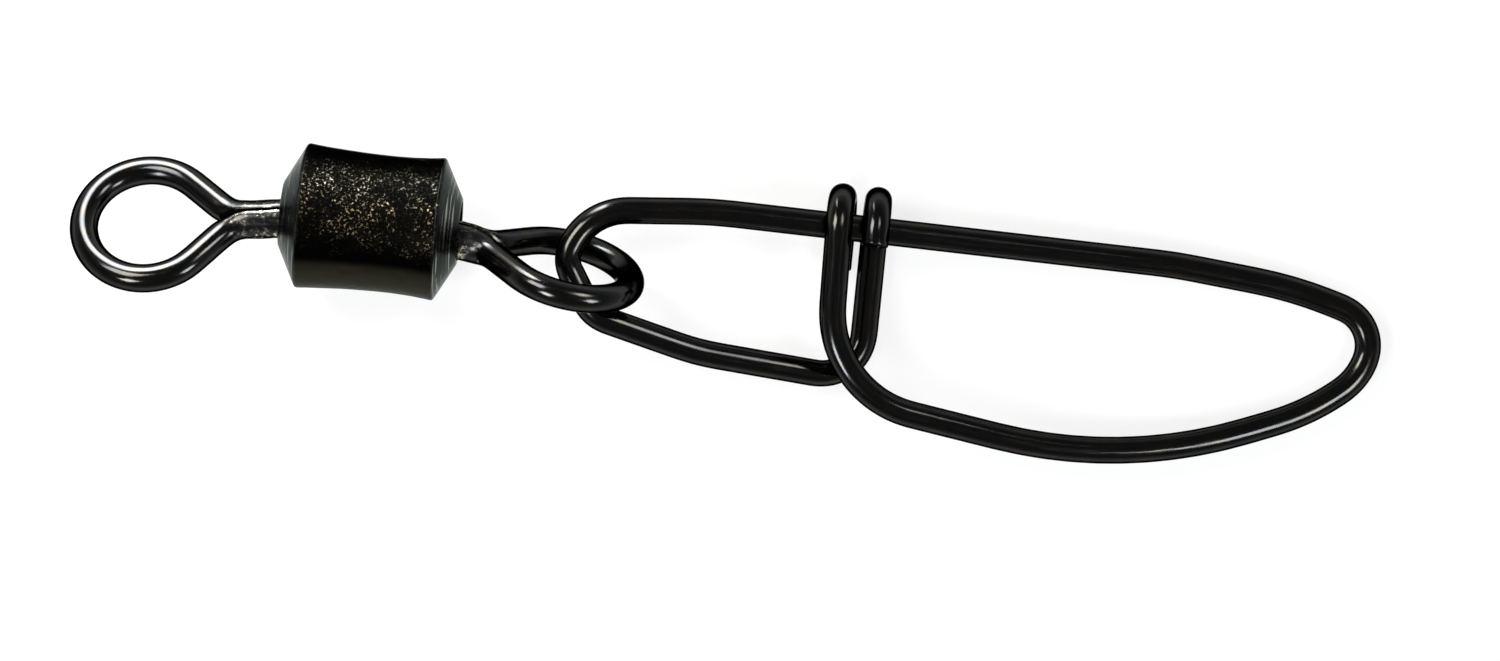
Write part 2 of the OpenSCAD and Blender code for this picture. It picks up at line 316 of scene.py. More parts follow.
@dataclass
class CutWire:
    """A wire with a section carried along a middle line, cut off and eased at both ends."""

    line: np.ndarray
    along: np.ndarray
    sides: np.ndarray
    reach: np.ndarray
    bevel: float = 0.09
    bevel_steps: int = 5
    cut_slope: float = 0.12

    def shell(self, pressed: np.ndarray) -> Shell:
        """Works out the wire's skin.

        Formula: a point is line + reach (out cos a + side sin a), with the angle a round the wire. At each
        end the ring turns over in a quarter round of the bevel's radius, down to a flat, slanting cut.

        Args:
            pressed: How far the wire is pressed at each point of the line, from 0 to 1.

        Returns:
            The closed skin.
        """
        ways = ways_along(self.line)
        turn = np.linspace(0.0, math.pi / 2, self.bevel_steps)
        inset = np.r_[0.7 * self.reach.min(), self.bevel * (1 - np.sin(turn))]
        set_back = np.r_[0.0, self.bevel * (1 - np.cos(turn))]
        start_line = self.line[0] + ways[0] * set_back[:, None]
        end_line = self.line[-1] - ways[-1] * set_back[::-1, None]
        rings = len(inset)
        inner = slice(2, -2)
        line = np.vstack([start_line, self.line[inner], end_line])
        way = with_end_rings(ways, rings)
        side = with_end_rings(self.sides, rings)
        reach = np.vstack([
            self.reach[0] - inset[:, None],
            self.reach[inner],
            self.reach[-1] - inset[::-1, None],
        ])
        out = np.cross(side, way)
        angle = np.linspace(0.0, 2 * math.pi, self.reach.shape[1], endpoint=False)
        across = np.cos(angle)[None, :, None] * out[:, None] + np.sin(angle)[None, :, None] * side[:, None]
        skin = line[:, None] + reach[..., None] * across
        slant = np.zeros(len(line))
        slant[:rings] = self.cut_slope
        slant[-rings:] = -self.cut_slope
        skin += (slant[:, None] * reach * np.cos(angle))[..., None] * way[:, None]

        count, sides = reach.shape
        along = with_end_rings(self.along, rings)
        straightened = np.stack([
            reach * np.cos(angle), reach * np.sin(angle), np.broadcast_to(along[:, None], reach.shape)
        ], axis=-1)
        tips = skin[[0, -1]].mean(axis=1)
        mask = with_end_rings(pressed, rings)
        return Shell(
            np.vstack([skin.reshape(-1, 3), tips]),
            grid_faces(count, sides).tolist() + end_fans(count, sides).tolist(),
            np.vstack([straightened.reshape(-1, 3), [[0, 0, along[0]], [0, 0, along[-1]]]]),
            np.r_[np.repeat(mask, sides), pressed[0], pressed[-1]],
            np.zeros(count * sides + 2),
        )


def turned_shell(profile: np.ndarray, sides: int, closed: bool, closed_down: np.ndarray) -> Shell:
    """Turns a profile about the X axis.

    Formula: a profile point (place, radius) goes to (place, radius cos a, radius sin a).

    Args:
        profile: Rows of place along the axis and radius, which start and end on the axis unless closed.
        sides: The points in a ring.
        closed: Whether the last ring joins the first one.
        closed_down: The mask of each profile point.

    Returns:
        The closed surface.
    """
    angle = np.linspace(0.0, 2 * math.pi, sides, endpoint=False)
    rows = profile if closed else profile[1:-1]
    mask = closed_down if closed else closed_down[1:-1]
    skin = np.stack([
        np.broadcast_to(rows[:, :1], (len(rows), sides)),
        rows[:, 1:] * np.cos(angle),
        rows[:, 1:] * np.sin(angle),
    ], axis=-1)
    points = skin.reshape(-1, 3)
    faces = grid_faces(len(rows), sides, closed=closed).tolist()
    masks = np.repeat(mask, sides)
    if not closed:
        faces += end_fans(len(rows), sides).tolist()
        points = np.vstack([points, profile[[0, -1], :1] * (1, 0, 0)])
        masks = np.r_[masks, mask[0], mask[-1]]
    return Shell(points, faces, points.copy(), np.zeros(len(points)), masks)


@dataclass
class Wiring:
    """A node tree, with a call that adds a node, sets its values and joins its inputs."""

    tree: bpy.types.NodeTree

    def add(self, kind: str, inputs: dict | None = None, **settings: object) -> bpy.types.Node:
        """Adds a node.

        Args:
            kind: The node's type.
            inputs: For each input, by name or number, a value or the socket that feeds it.
            settings: The node's own settings.

        Returns:
            The new node.
        """
        node = self.tree.nodes.new(kind)
        for key, value in settings.items():
            setattr(node, key, value)
        for key, value in (inputs or {}).items():
            if isinstance(value, Socket):
                self.tree.links.new(value, node.inputs[key])
            else:
                node.inputs[key].default_value = value
        return node

    def math(self, operation: str, *terms: object) -> Socket:
        """Returns the result of a Math node on values or sockets."""
        return self.add("ShaderNodeMath", dict(enumerate(terms)), operation=operation).outputs[0]

    def times(self, a: object, b: object) -> Socket:
        """Returns the product of two values or sockets."""
        return self.math("MULTIPLY", a, b)

    def attribute(self, layer: Layer) -> bpy.types.Node:
        """Returns a node that reads a value that the mesh carries."""
        return self.add("ShaderNodeAttribute", attribute_name=layer.value)

    def shared(self, group: bpy.types.NodeTree, inputs: dict) -> bpy.types.Node:
        """Returns a node of a shared group, with its inputs set."""
        return self.add("ShaderNodeGroup", inputs, node_tree=group)

    def noise(self, place: object, scale: object, detail: float, rough: float = 0.5) -> Socket:
        """Returns the height of a Noise Texture."""
        inputs = {"Vector": place, "Scale": scale, "Detail": detail, "Roughness": rough}
        return self.add("ShaderNodeTexNoise", inputs).outputs[0]

    def mapped(self, value: object, low: float, high: float, to_low: float, to_high: float) -> Socket:
        """Returns a value carried from one range to another, smoothly and held at its ends."""
        inputs = {"Value": value, "From Min": low, "From Max": high, "To Min": to_low, "To Max": to_high}
        return self.add("ShaderNodeMapRange", inputs, interpolation_type="SMOOTHSTEP").outputs["Result"]

    def mixed(self, factor: object, a: object, b: object) -> Socket:
        """Returns the mix of two colours."""
        return self.add("ShaderNodeMix", {0: factor, 6: a, 7: b}, data_type="RGBA").outputs[2]

    def metal(
        self, colour: object, rough: object, edge: object, height: object, strength: float, depth: float,
    ) -> None:
        """Ends a material in a metal.

        Args:
            colour: Its colour, seen straight on.
            rough: Its roughness.
            edge: Its tint at grazing angles.
            height: The relief.
            strength: How far the relief shows.
            depth: The relief's depth in metres.
        """
        bump = self.add("ShaderNodeBump", {"Height": height, "Strength": strength, "Distance": depth})
        shader = self.add("ShaderNodeBsdfPrincipled", {
            "Base Color": colour,
            "Roughness": rough,
            "Normal": bump.outputs[0],
            "Metallic": 1.0,
            "Specular Tint": edge,
        })
        self.add("ShaderNodeOutputMaterial", {"Surface": shader.outputs[0]})


def new_group(name: str, inputs: dict[str, tuple[str, object]], outputs: list[str]) -> tuple[Wiring, dict]:
    """Starts a shader node group.

    Args:
        name: The group's name.
        inputs: For each input, its socket type and its default value.
        outputs: The names of the outputs, all numbers.

    Returns:
        The wiring of the group, and its input sockets by name.
    """
    tree = bpy.data.node_groups.new(name, "ShaderNodeTree")
    for key, (kind, default) in inputs.items():
        socket = tree.interface.new_socket(key, in_out="INPUT", socket_type=kind)
        if default is not None:
            socket.default_value = default
    for key in outputs:
        tree.interface.new_socket(key, in_out="OUTPUT", socket_type="NodeSocketFloat")
    wiring = Wiring(tree)
    entry = wiring.add("NodeGroupInput")
    return wiring, {key: entry.outputs[key] for key in inputs}


def drawn_grain_group() -> bpy.types.NodeTree:
    """Makes the fine lines that drawing leaves along a wire, or turning leaves round a cone.

    Formula: noise over the piece's own coordinates, each stretched first, so that it runs long where the
    stretch is small: along the straightened wire, or round the axis of the cone. A slow noise adds ripple.
    """
    wiring, given = new_group(
        "drawn_grain",
        {
            "Wire": ("NodeSocketVector", None),
            "Stretch": ("NodeSocketVector", (1.0, 1.0, 0.06)),
            "Lines": ("NodeSocketFloat", 9.0),
            "Ripple": ("NodeSocketFloat", 0.5),
        },
        ["Height", "Streaks"],
    )
    terms = {0: given["Wire"], 1: given["Stretch"]}
    stretched = wiring.add("ShaderNodeVectorMath", terms, operation="MULTIPLY").outputs[0]
    lines = wiring.noise(stretched, given["Lines"], 4.0, 0.6)
    waves = wiring.noise(given["Wire"], 1.1, 2.0)
    height = wiring.math("ADD", wiring.times(lines, 0.25), wiring.times(waves, given["Ripple"]))
    streaks = wiring.mapped(lines, 0.35, 0.7, 0.0, 1.0)
    wiring.add("NodeGroupOutput", {"Height": height, "Streaks": streaks})
    return wiring.tree


def tumbled_pits_group() -> bpy.types.NodeTree:
    """Makes the pits and specks that pressing and tumbling leave on metal.

    Formula: coarse and fine noise over millimetres. Where the coarse one is high, the peaks of the fine one
    show as specks, squared so that few are bright. The relief is the fine one with round dimples.
    """
    wiring, given = new_group(
        "tumbled_pits",
        {
            "Place": ("NodeSocketVector", None),
            "Fineness": ("NodeSocketFloat", 3.0),
            "Patches": ("NodeSocketFloat", 0.5),
            "Cover": ("NodeSocketFloat", 0.5),
        },
        ["Height", "Specks", "Clouds"],
    )
    fine = wiring.noise(given["Place"], given["Fineness"], 5.0, 0.65)
    coarse = wiring.noise(given["Place"], given["Patches"], 3.0, 0.6)
    clouds = wiring.mapped(coarse, 0.44, 0.6, 0.0, 1.0)
    edge = wiring.math("SUBTRACT", 0.72, wiring.times(given["Cover"], 0.28))
    over = wiring.math("SUBTRACT", fine, edge)
    bright = wiring.math("POWER", wiring.mapped(over, -0.06, 0.16, 0.0, 1.0), 2.0)
    specks = wiring.times(bright, wiring.math("MULTIPLY_ADD", clouds, 0.94, 0.06))
    cells = wiring.add("ShaderNodeTexVoronoi", {"Vector": given["Place"], "Scale": given["Fineness"]})
    dimple = wiring.mapped(cells.outputs["Distance"], 0.0, 0.55, 0.0, 1.0)
    height = wiring.math("MULTIPLY_ADD", dimple, 0.5, fine)
    wiring.add("NodeGroupOutput", {"Height": height, "Specks": specks, "Clouds": clouds})
    return wiring.tree


@dataclass
class Effects:
    """The node groups that the finishes share."""

    grain: bpy.types.NodeTree
    pits: bpy.types.NodeTree

    @classmethod
    def made(cls) -> "Effects":
        """Returns the groups, each built once."""
        return cls(drawn_grain_group(), tumbled_pits_group())


def new_material(name: str) -> tuple[bpy.types.Material, Wiring]:
    """Returns an empty node material and its wiring."""
    material = bpy.data.materials.new(name)
    material.use_nodes = True
    material.node_tree.nodes.clear()
    return material, Wiring(material.node_tree)


@dataclass(frozen=True)
class WireFinish:
    """Black nickel on drawn wire: nearly black, glossy, with a faint brown where it is thin."""

    name: str
    plating: Colour = (0.036, 0.037, 0.038, 1.0)
    thin: Colour = (0.05, 0.046, 0.037, 1.0)
    pressed: Colour = (0.75, 0.7, 0.58, 1.0)
    edge: Colour = (0.12, 0.12, 0.12, 1.0)
    gloss: float = 0.12
    dull: float = 0.2
    lines: float = 9.0
    ripple: float = 0.6
    scars: float = 5.0
    scar_patches: float = 1.1
    scar_cover: float = 0.75
    scar_depth: float = 0.8
    scar_rough: float = 0.1
    thin_share: float = 0.55
    relief: float = 0.35
    relief_depth: float = 0.00003

    def material(self, effects: Effects) -> bpy.types.Material:
        """Builds the finish.

        Args:
            effects: The shared node groups.

        Returns:
            The material.
        """
        material, wiring = new_material(self.name)
        wire = wiring.attribute(Layer.WIRE).outputs["Vector"]
        pressed = wiring.attribute(Layer.PRESSED).outputs["Fac"]
        grain = wiring.shared(effects.grain, {"Wire": wire, "Lines": self.lines, "Ripple": self.ripple})
        pits = wiring.shared(effects.pits, {
            "Place": wire, "Fineness": self.scars, "Patches": self.scar_patches, "Cover": self.scar_cover,
        })
        body = wiring.mixed(wiring.times(pits.outputs["Clouds"], self.thin_share), self.plating, self.thin)
        colour = wiring.mixed(wiring.times(pits.outputs["Specks"], pressed), body, self.pressed)
        smooth = wiring.mapped(grain.outputs["Streaks"], 0.0, 1.0, self.gloss, self.dull)
        rough = wiring.math("ADD", smooth, wiring.times(pressed, self.scar_rough))
        pitted = wiring.times(pits.outputs["Height"], wiring.times(pressed, self.scar_depth))
        height = wiring.math("ADD", grain.outputs["Height"], pitted)
        wiring.metal(colour, rough, self.edge, height, self.relief, self.relief_depth)
        return material


@dataclass(frozen=True)
class BarrelFinish:
    """Blackened brass, tumbled: nearly black, with golden specks of wear on one side, painted shade towards
    the +Y edge, a painted reflection band along the -Y side, and turned on the cones.
    """

    name: str = "blackened_brass"
    dark: Colour = (0.002, 0.002, 0.0018, 1.0)
    brown: Colour = (0.0032, 0.0028, 0.0019, 1.0)
    # smooth: a brown colour laid along the -Y side as a painted reflection of the floor.
    smooth: Colour = (0.023, 0.021, 0.0135, 1.0)
    gold: Colour = (0.8, 0.66, 0.4, 1.0)
    pale: Colour = (0.72, 0.7, 0.56, 1.0)
    cone: Colour = (0.022, 0.025, 0.025, 1.0)
    line: Colour = (0.42, 0.43, 0.38, 1.0)
    edge: Colour = (0.12, 0.12, 0.12, 1.0)
    cone_edge: Colour = (0.6, 0.62, 0.6, 1.0)
    fineness: float = 9.0
    patches: float = 1.15
    cover: float = 0.57
    turned_lines: float = 14.0
    turned_stretch: tuple[float, float, float] = (1.0, 0.02, 0.02)
    side_rough: float = 0.4
    cone_rough: float = 0.27
    relief: float = 0.8
    relief_depth: float = 0.00004

    def worn_side_with_painted_light(self, wiring: Wiring, place: Socket) -> tuple:
        """Works out where the side shows specks of wear, and where painted shade, sheen and reflection lie on
        it.

        Formula: the angle atan2(y, z) about the barrel's axis, in radians, moved by a slow noise. The wear
        grows from -0.7 to 0.45 and dies away from 0.4 to 1.0, a painted shade that darkens the side towards
        +Y. Its specks turn pale from 0 to 0.6, a painted sheen. The side is smooth and brown from -0.6 down
        to -2, a painted reflection of the floor.

        Args:
            wiring: The material's wiring.
            place: The barrel's lathe coordinates, in millimetres.

        Returns:
            The sockets of the wear mask with its painted shade, of the mask of the painted reflection band,
            and of the share of pale specks, a painted sheen.
        """
        parts = wiring.add("ShaderNodeSeparateXYZ", {0: place})
        moved = wiring.math("MULTIPLY_ADD", wiring.noise(place, 1.3, 3.0), 0.5, -0.25)
        angle = wiring.math("ARCTAN2", parts.outputs["Y"], parts.outputs["Z"])
        turned = wiring.math("ADD", angle, moved)
        grows = wiring.mapped(turned, -0.7, 0.45, 0.0, 1.0)
        # Painted shade: the wear dies away towards +Y, so that side goes dark.
        painted_shade_fade = wiring.mapped(turned, 0.4, 1.0, 1.0, 0.06)
        # Painted reflection: from -0.6 down to -2 the side is smooth and brown, standing in for the floor's
        # reflection.
        painted_reflection_start = wiring.mapped(angle, -0.78, -0.6, 1.0, 0.0)
        ends = wiring.mapped(turned, -2.3, -1.8, 0.0, 1.0)
        # Painted sheen: the specks turn paler towards +Y.
        painted_pale_sheen = wiring.mapped(turned, 0.0, 0.6, 0.0, 1.0)
        return wiring.times(grows, painted_shade_fade), wiring.times(painted_reflection_start, ends), painted_pale_sheen

    def material(self, effects: Effects) -> bpy.types.Material:
        """Builds the finish.

        Args:
            effects: The shared node groups.

        Returns:
            The material.
        """
        material, wiring = new_material(self.name)
        place = wiring.attribute(Layer.WIRE).outputs["Vector"]
        closed = wiring.attribute(Layer.CLOSED_DOWN).outputs["Fac"]
        pits = wiring.shared(effects.pits, {
            "Place": place, "Fineness": self.fineness, "Patches": self.patches, "Cover": self.cover,
        })
        rings = wiring.shared(effects.grain, {
            "Wire": place, "Stretch": self.turned_stretch, "Lines": self.turned_lines, "Ripple": 0.0,
        })
        # The wear mask also carries painted shade, and the pale share carries a painted sheen.
        wear_and_painted_shade, smooth, painted_pale_sheen = self.worn_side_with_painted_light(wiring, place)
        side = wiring.mixed(wiring.times(pits.outputs["Clouds"], wear_and_painted_shade), self.dark, self.brown)
        # The smooth mask lays the painted reflection band on the -Y side.
        side = wiring.mixed(smooth, side, self.smooth)
        speck = wiring.mixed(painted_pale_sheen, self.gold, self.pale)
        specked = wiring.mixed(wiring.times(pits.outputs["Specks"], wear_and_painted_shade), side, speck)
        lines = wiring.mapped(rings.outputs["Streaks"], 0.6, 0.9, 0.0, 0.6)
        turned = wiring.mixed(lines, self.cone, self.line)
        open_side = wiring.mapped(closed, 0.0, 1.0, 1.0, 0.0)
        dented = wiring.times(pits.outputs["Height"], wiring.times(open_side, wear_and_painted_shade))
        grooves = wiring.times(wiring.times(rings.outputs["Height"], closed), 2.0)
        wiring.metal(
            colour=wiring.mixed(closed, specked, turned),
            rough=wiring.mapped(closed, 0.0, 1.0, self.side_rough, self.cone_rough),
            # The painted reflection band also gets the cones' stronger edge tint.
            edge=wiring.mixed(wiring.math("MAXIMUM", closed, smooth), self.edge, self.cone_edge),
            height=wiring.math("ADD", dented, grooves),
            strength=self.relief,
            depth=self.relief_depth,
        )
        return material


@dataclass
class Barrel:
    """The rolled barrel: a tube closed down to a cone at each end, with a drawn-in waist."""

    snap_d: float = 6.0
    waist_d: float = 5.74
    waist_place: float = 0.7
    cone_len: float = 0.85
    hole_d: float = 2.5
    rim_w: float = 0.14
    wall: float = 0.42
    edge_round: float = 0.16
    sides: int = 208
    dents: int = 260
    dent_depth: float = 0.02
    dent_reach: float = 0.3

    def __post_init__(self) -> None:
        """Takes the length, the line side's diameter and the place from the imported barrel."""
        low, high = (np.array(corner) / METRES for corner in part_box("swivel_barrel"))
        self.length = float(high[0] - low[0])
        self.line_d = float(high[2] - low[2])
        self.centre = (low + high) / 2

    def cone_angle(self, r: float) -> float:
        """Returns the angle of an end cone to the axis, for the radius at its foot."""
        return math.atan((r - self.hole_d / 2 - self.rim_w) / self.cone_len)

    def half_profile(self, edge_r: float, waist: float) -> tuple[np.ndarray, np.ndarray]:
        """Works out the outside from the hole in one end to the waist.

        Formula: a flat rim, a straight cone, a quarter round of the edge radius over the cone's angle, and a
        side whose radius is the waist's plus a share of the rest that grows with the square of the place.

        Args:
            edge_r: The radius at the edge between the side and the cone.
            waist: The place of the waist along the axis.

        Returns:
            Rows of place and radius, and the mask of the closed-down part.
        """
        cone = self.cone_angle(edge_r)
        rim_r = self.hole_d / 2 + self.rim_w
        r = self.edge_round
        foot = self.length / 2 - self.cone_len - r * math.tan(cone / 2)
        turn = np.linspace(cone, 0.0, 10)
        edge = np.column_stack([foot + r * np.sin(turn), edge_r - r * (1 - np.cos(turn))])
        share = np.linspace(0.0, 1.0, 14)[:, None]
        rim = np.array([[self.length / 2, self.hole_d / 2], [self.length / 2, rim_r - 0.02]])
        cone_line = np.array([self.length / 2, rim_r]) * (1 - share) + edge[0] * share
        s = np.linspace(1.0, 0.0, 34)[1:, None]
        side = np.hstack([waist + (foot - waist) * s, self.waist_d / 2 + (edge_r - self.waist_d / 2) * s * s])
        profile = np.vstack([rim, cone_line[:-1], edge, side])
        closed = np.ones(len(rim) + len(cone_line) - 1)
        return profile, np.r_[closed, np.linspace(0.8, 0.0, len(edge)), np.zeros(len(side))]

    def bore_place(self, r: float) -> float:
        """Returns the place along the axis at which the inside of a cone has the radius r."""
        cone = self.cone_angle(self.snap_d / 2)
        behind = r - self.hole_d / 2 - self.rim_w + self.wall * math.cos(cone)
        return self.length / 2 - self.wall * math.sin(cone) - behind / math.tan(cone)

    def shell(self) -> Shell:
        """Turns the outside and the bore as one closed surface and dents it as tumbling does.

        Formula of a dent: a point moves towards the axis by depth exp(-(distance / reach)^2).

        Returns:
            The closed surface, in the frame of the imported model.
        """
        snap_side, snap_mask = self.half_profile(self.snap_d / 2, self.waist_place)
        line_side, line_mask = self.half_profile(self.line_d / 2, -self.waist_place)
        line_side = line_side[::-1][1:] * (-1, 1)
        cavity_r = self.waist_d / 2 - self.wall
        hole = self.bore_place(self.hole_d / 2)
        chamber = self.bore_place(cavity_r)
        bore = np.array([
            [-hole, self.hole_d / 2], [-chamber, cavity_r], [0.0, cavity_r],
            [chamber, cavity_r], [hole, self.hole_d / 2],
        ])
        profile = np.vstack([snap_side, line_side, bore])[::-1]
        mask = np.r_[snap_mask, line_mask[::-1][1:], np.ones(len(bore))][::-1]
        made = turned_shell(profile, self.sides, True, mask)
        rng = np.random.default_rng(7)
        outside = np.repeat(np.arange(len(profile)) >= len(bore), self.sides)
        angle = rng.uniform(0, 2 * math.pi, self.dents)
        middle = np.column_stack([
            rng.uniform(-0.5, 0.5, self.dents) * self.length,
            np.cos(angle) * self.waist_d / 2,
            np.sin(angle) * self.waist_d / 2,
        ])
        reach = self.dent_reach * rng.uniform(0.35, 1.0, self.dents)
        depth = self.dent_depth * rng.uniform(0.2, 1.0, self.dents)
        gap = np.linalg.norm(made.points[:, None] - middle[None], axis=2)
        drop = (depth * np.exp(-((gap / reach) ** 2))).sum(axis=1) * outside
        radial = made.points * (0, 1, 1)
        made.points -= unit(radial) * drop[:, None]
        made.points += self.centre
        return made

    def build(self, finish: bpy.types.Material) -> None:
        """Makes the barrel's piece and dresses it in the finish."""
        make_piece(self.shell(), "swivel_barrel_shell", finish, Body.BARREL, "swivel_barrel")


@dataclass
class Eye:
    """An eye: one wire bent to a ring, its two ends pressed together to a neck and upset to a head."""

    body: Body
    joint: str
    roll: float
    wire_d: float = 1.2
    round_r: float = 2.68
    length: float = 9.8
    leg_angle: float = 45.0
    leg_bend: float = 1.2
    neck_d: float = 1.64
    seam: float = 0.07
    head_d: float = 3.7
    head_t: float = 0.9
    head_slope: float = 59.0
    head_round: float = 0.25
    press_from: float = -0.35
    press_to: float = 0.95
    sides: int = 56
    step: float = 0.11
    ease: float = 0.22

    def __post_init__(self) -> None:
        """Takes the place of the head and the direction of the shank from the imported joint."""
        joint = next(j for j in frame["joints"] if j["name"] == self.joint)
        self.head = np.array(joint["pos_m"]) / METRES
        shank = unit(np.array(joint["axis"]))
        across = np.cross(UP, shank)
        roll = math.radians(self.roll)
        wide = across * math.cos(roll) + UP * math.sin(roll)
        thick = UP * math.cos(roll) - across * math.sin(roll)
        self.axes = np.array([shank, wide, thick])

    def placed(self, points: np.ndarray) -> np.ndarray:
        """Returns points of the eye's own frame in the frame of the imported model."""
        return self.head + points @ self.axes

    def leg_offset(self) -> float:
        """Returns the distance from the shank's axis to the middle of a half-round leg, 4 r / (3 pi)."""
        return 4 * (self.neck_d / 2) / (3 * math.pi)

    def middle_line(self) -> tuple[np.ndarray, np.ndarray]:
        """Lays the middle line from one end in the head, round the ring and back to the other end.

        Returns:
            The points in the eye's frame, and the arc length at each.
        """
        leg = math.radians(self.leg_angle)
        ring_x = self.length - self.round_r
        cross_x = ring_x - self.round_r / math.sin(leg)
        offset = self.leg_offset()
        turn = np.linspace(math.pi / 2 + leg, 0.0, 60)
        ring = np.column_stack([ring_x + self.round_r * np.cos(turn), self.round_r * np.sin(turn), 0 * turn])
        start = np.array([0.0, offset, 0.0])
        corner = np.array([cross_x + offset / math.tan(leg), offset, 0.0])
        route = rounded_line(np.array([start, corner, ring[0]]), np.array([0.0, self.leg_bend, 0.0]))
        half = np.vstack([route[:-1], ring])
        whole = np.vstack([half, half[-2::-1] * (1, -1, 1)])
        return spaced(whole, self.step, self.ease)

    def half_round(self, angle: np.ndarray) -> np.ndarray:
        """Works out the section of a pressed leg, as the reach from its middle at each angle.

        Formula: the reach to the neck's circle is -c cos a + sqrt(R^2 - c^2 sin^2 a), with the circle's
        middle c behind, and the reach to the flat is f / -cos a. The smaller one counts, blended by powers.

        Args:
            angle: The angles, with 0 pointing away from the shank's axis.

        Returns:
            The reach at each angle.
        """
        c = self.leg_offset()
        circle = -c * np.cos(angle) + np.sqrt((self.neck_d / 2) ** 2 - (c * np.sin(angle)) ** 2)
        flat = (c - self.seam / 2) / np.maximum(-np.cos(angle), 1e-3)
        return (circle ** -9.0 + flat ** -9.0) ** (-1 / 9.0)

    def wire_shell(self) -> Shell:
        """Carries the section along the middle line: half-round in the neck, round everywhere else.

        Returns:
            The closed skin, in the eye's frame.
        """
        line, along = self.middle_line()
        leg = math.radians(self.leg_angle)
        cross_x = self.length - self.round_r - self.round_r / math.sin(leg)
        from_end = np.minimum(along, along[-1] - along)
        bend_start = cross_x + self.leg_offset() - self.leg_bend * math.tan(leg / 2)
        pressed = 1.0 - smoothstep(from_end, bend_start + self.press_from, bend_start + self.press_to)
        angle = np.linspace(0.0, 2 * math.pi, self.sides, endpoint=False)
        place = along[:, None]
        uneven = 0.012 * np.sin(2.1 * place + 2 * angle) + 0.01 * np.sin(4.7 * place - 3 * angle)
        section = self.half_round(angle) + np.minimum(uneven, 0.008) * (np.cos(angle) > -0.5)
        reach = pressed[:, None] * section + (1 - pressed[:, None]) * self.wire_d / 2
        ways = ways_along(line)
        out = np.cross(UP, ways)
        sides = np.cross(ways, out)
        shell = CutWire(line, along, sides, reach, bevel=0.05, cut_slope=0.0).shell(pressed)
        near = shell.points[:, 0] < cross_x + 1.2
        half = np.where(np.arange(len(shell.points)) < len(shell.points) // 2, 1.0, -1.0)
        half[-2:] = (1.0, -1.0)
        depth = shell.points[:, 1] * half
        gap = self.seam / 2
        kept = 0.5 * (depth + gap + np.sqrt((depth - gap) ** 2 + 0.0004))
        shell.points[:, 1] = np.where(near, kept * half, shell.points[:, 1])
        return shell

    def head_shell(self) -> Shell:
        """Turns the head with its cone shoulder, which sits inside the barrel.

        Returns:
            The closed surface, in the eye's frame.
        """
        r, neck_r, t, edge = self.head_d / 2, self.neck_d / 2, self.head_t, self.head_round
        shoulder = (r - neck_r) / math.tan(math.radians(self.head_slope))
        turn = np.linspace(0.0, math.pi / 2, 6)
        back = np.column_stack([-t / 2 + edge * (1 - np.cos(turn)), r - edge + edge * np.sin(turn)])
        profile = np.vstack([
            [[-t / 2, 0.0], [-t / 2, r * 0.5]], back,
            [[t / 2, r], [t / 2 + shoulder, neck_r - 0.01], [t / 2 + shoulder, 0.0]],
        ])
        return turned_shell(profile, self.sides, False, np.zeros(len(profile)))

    def build(self, finish: bpy.types.Material) -> None:
        """Makes the eye's piece, wire and head, and dresses it in the finish."""
        shell = self.wire_shell().joined(self.head_shell())
        shell.points = self.placed(shell.points)
        name = self.body.value
        make_piece(shell, f"{name}_wire", finish, self.body, name)


@dataclass(frozen=True)
class Corner:
    """A corner of the snap's wire: how far from the nose or the end bend, how deep, and its bend radius."""

    reach: float
    depth: float
    bend: float


